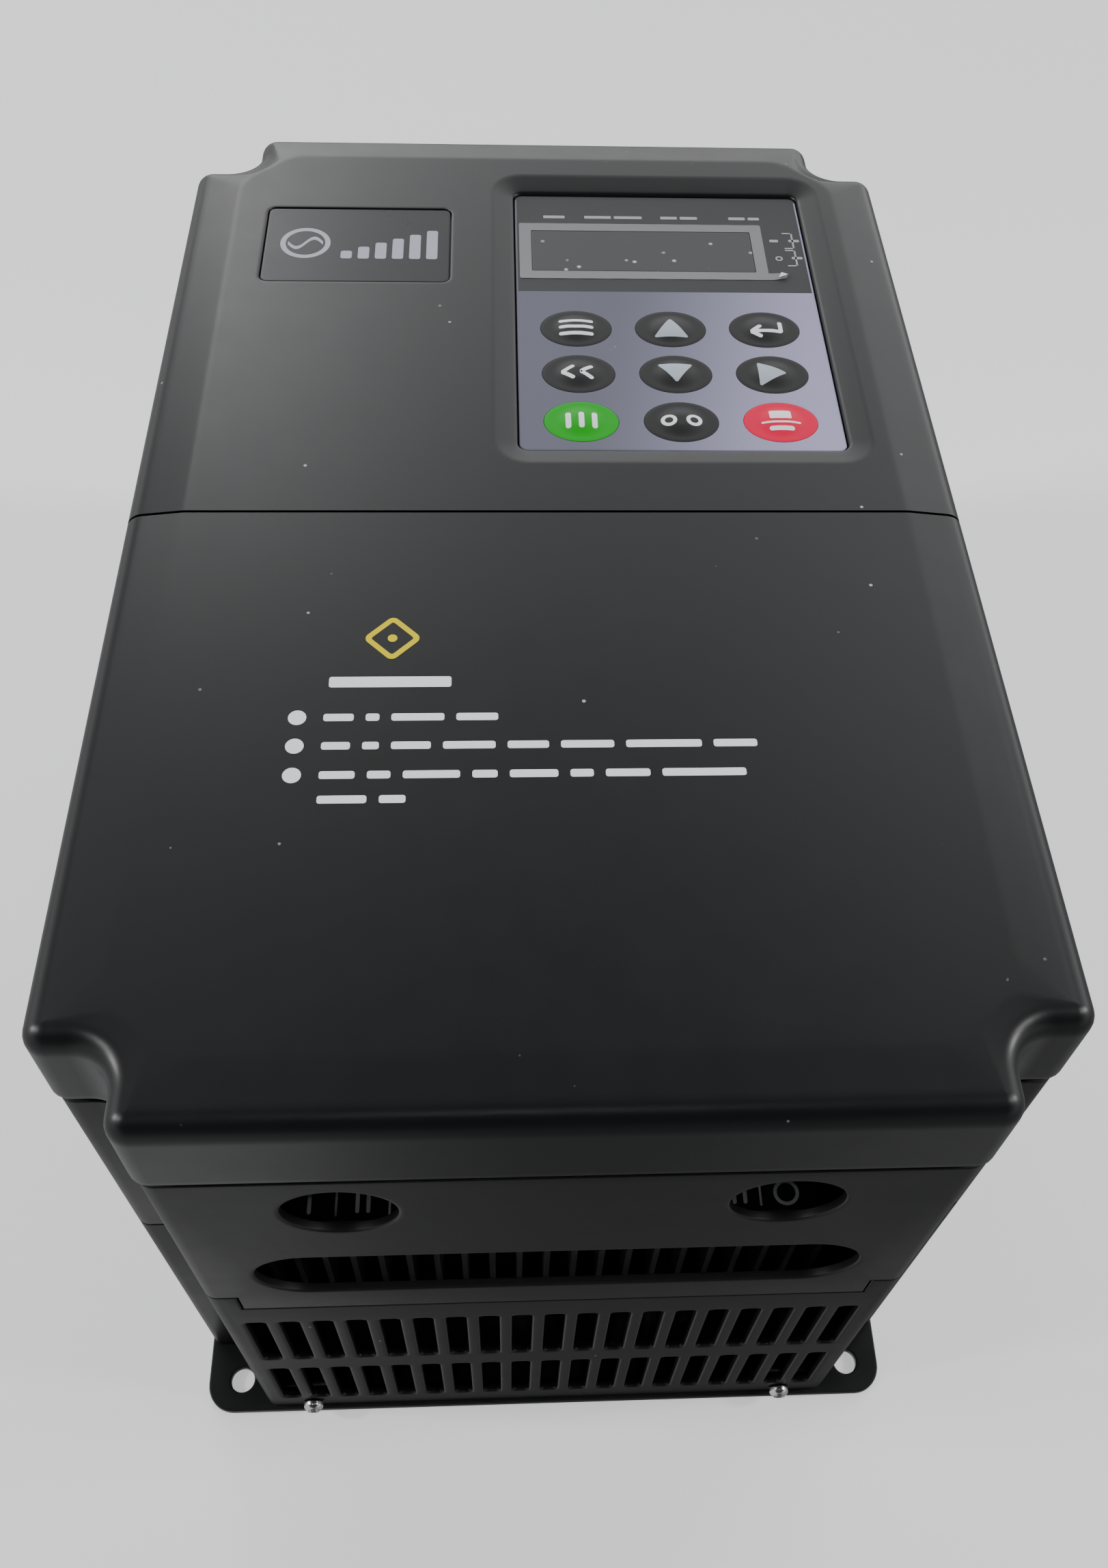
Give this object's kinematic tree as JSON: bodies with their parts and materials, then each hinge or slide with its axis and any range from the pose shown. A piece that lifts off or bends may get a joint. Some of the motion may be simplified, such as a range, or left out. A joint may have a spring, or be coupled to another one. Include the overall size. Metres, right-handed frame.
{
  "type": "variable frequency drive",
  "caption": "Wall-mounted motor drive in a black moulded case, with a pull-out keypad, a hinged terminal cover, cable entries, a finned heat sink and cooling fans.",
  "frame": {"origin": "centre of the mounting plate's rear face, at the middle of the bounding box in X and Y", "axes": "+Z out of the wall towards the front face, +Y towards the fan end (up when mounted), +X to the right as seen by someone who faces the mounted drive"},
  "size_m": [0.208, 0.3272, 0.222],
  "materials": {
    "plate_steel": "satin black paint",
    "housing_plastic": "fine texture, satin",
    "cover_plastic": "fine texture, satin",
    "nameplate": "smooth gloss",
    "keypad_plastic": "fine texture, satin",
    "keypad_film": "printed film, satin",
    "display_window": "smoked, smooth",
    "display_body": "smooth",
    "circuit_board": "green solder resist",
    "key_dark": "satin dome",
    "key_green": "satin dome",
    "key_red": "satin dome",
    "connector_plastic": "moulded",
    "switch_metal": "tinned",
    "indicator": "clear red",
    "heat_sink_aluminium": "extruded",
    "module_plastic": "moulded",
    "capacitor_sleeve": "shrunk sleeve",
    "copper": "tinned copper bar",
    "relay_blue": "moulded",
    "transformer": "varnished",
    "ceramic_white": "cement filled ceramic",
    "brass": "machined",
    "screw_steel": "zinc plated",
    "terminal_black": "moulded",
    "tray_steel": "zinc plated sheet",
    "terminal_green": "moulded",
    "ribbon": "flat cable",
    "fan_plastic": "moulded"
  },
  "bodies": {
    "drive": {"mounting_plate": "plate_steel", "rear_housing": "housing_plastic", "middle_cable_wall": "housing_plastic", "middle_fan_wall": "housing_plastic", "middle_left_side": "housing_plastic", "middle_right_side": "housing_plastic", "upper_cover": "cover_plastic", "badge_plate": "nameplate", "heat_sink": "heat_sink_aluminium", "inverter_module": "module_plastic", "rectifier_module": "module_plastic", "power_board": "circuit_board", "dc_capacitors": "capacitor_sleeve", "busbars": "copper", "current_sensors": "module_plastic", "start_relay": "relay_blue", "supply_transformer": "transformer", "charge_resistor": "ceramic_white", "board_standoffs": "brass", "terminal_block": "terminal_black", "terminal_screws": "screw_steel", "terminal_label_strip": "connector_plastic", "earth_screws": "screw_steel", "board_tray": "tray_steel", "control_board": "circuit_board", "control_chips": "module_plastic", "control_terminals": "terminal_green", "keypad_socket": "connector_plastic", "ribbon_cable": "ribbon", "fan_frame_left": "fan_plastic", "fan_frame_right": "fan_plastic", "fan_screws": "screw_steel", "plate_screws": "screw_steel", "housing_screws": "screw_steel", "tray_screws": "screw_steel"},
    "terminal_cover": {"lower_cover": "cover_plastic"},
    "keypad": {"keypad_case": "keypad_plastic", "keypad_overlay": "keypad_film", "display_lens": "display_window", "display_module": "display_body", "keypad_board": "circuit_board", "keypad_plug": "connector_plastic", "key_switches": "switch_metal", "indicator_lights": "indicator"},
    "left_fan": {"fan_rotor_left": "fan_plastic"},
    "right_fan": {"fan_rotor_right": "fan_plastic"},
    "menu_key": {"key_menu": "key_dark"},
    "up_key": {"key_up": "key_dark"},
    "enter_key": {"key_enter": "key_dark"},
    "escape_key": {"key_escape": "key_dark"},
    "down_key": {"key_down": "key_dark"},
    "shift_key": {"key_shift": "key_dark"},
    "run_key": {"key_run": "key_green"},
    "jog_key": {"key_jog": "key_dark"},
    "stop_key": {"key_stop": "key_red"}
  },
  "joints": [
    {"name": "terminal_cover_hinge", "type": "hinge", "parent": "drive", "child": "terminal_cover", "pos_m": [0, -0.0054, 0.222], "axis": [-1, 0, 0], "range_deg": [0, 65]},
    {"name": "keypad_pull", "type": "slide", "parent": "drive", "child": "keypad", "axis": [0, 0, 1], "range_m": [0, 0.032]},
    {"name": "menu_key_press", "type": "slide", "parent": "keypad", "child": "menu_key", "axis": [0, 0, -1], "range_m": [0, 0.0008], "stiffness_N_per_m": 1500, "springref_m": -0.0003},
    {"name": "up_key_press", "type": "slide", "parent": "keypad", "child": "up_key", "axis": [0, 0, -1], "range_m": [0, 0.0008], "stiffness_N_per_m": 1500, "springref_m": -0.0003},
    {"name": "enter_key_press", "type": "slide", "parent": "keypad", "child": "enter_key", "axis": [0, 0, -1], "range_m": [0, 0.0008], "stiffness_N_per_m": 1500, "springref_m": -0.0003},
    {"name": "escape_key_press", "type": "slide", "parent": "keypad", "child": "escape_key", "axis": [0, 0, -1], "range_m": [0, 0.0008], "stiffness_N_per_m": 1500, "springref_m": -0.0003},
    {"name": "down_key_press", "type": "slide", "parent": "keypad", "child": "down_key", "axis": [0, 0, -1], "range_m": [0, 0.0008], "stiffness_N_per_m": 1500, "springref_m": -0.0003},
    {"name": "shift_key_press", "type": "slide", "parent": "keypad", "child": "shift_key", "axis": [0, 0, -1], "range_m": [0, 0.0008], "stiffness_N_per_m": 1500, "springref_m": -0.0003},
    {"name": "run_key_press", "type": "slide", "parent": "keypad", "child": "run_key", "axis": [0, 0, -1], "range_m": [0, 0.0008], "stiffness_N_per_m": 1500, "springref_m": -0.0003},
    {"name": "jog_key_press", "type": "slide", "parent": "keypad", "child": "jog_key", "axis": [0, 0, -1], "range_m": [0, 0.0008], "stiffness_N_per_m": 1500, "springref_m": -0.0003},
    {"name": "stop_key_press", "type": "slide", "parent": "keypad", "child": "stop_key", "axis": [0, 0, -1], "range_m": [0, 0.0008], "stiffness_N_per_m": 1500, "springref_m": -0.0003},
    {"name": "left_fan_spin", "type": "hinge", "parent": "drive", "child": "left_fan", "pos_m": [-0.041, 0.1395, 0.057], "axis": [0, 1, 0], "continuous": true},
    {"name": "right_fan_spin", "type": "hinge", "parent": "drive", "child": "right_fan", "pos_m": [0.041, 0.1395, 0.057], "axis": [0, 1, 0], "continuous": true}
  ]
}
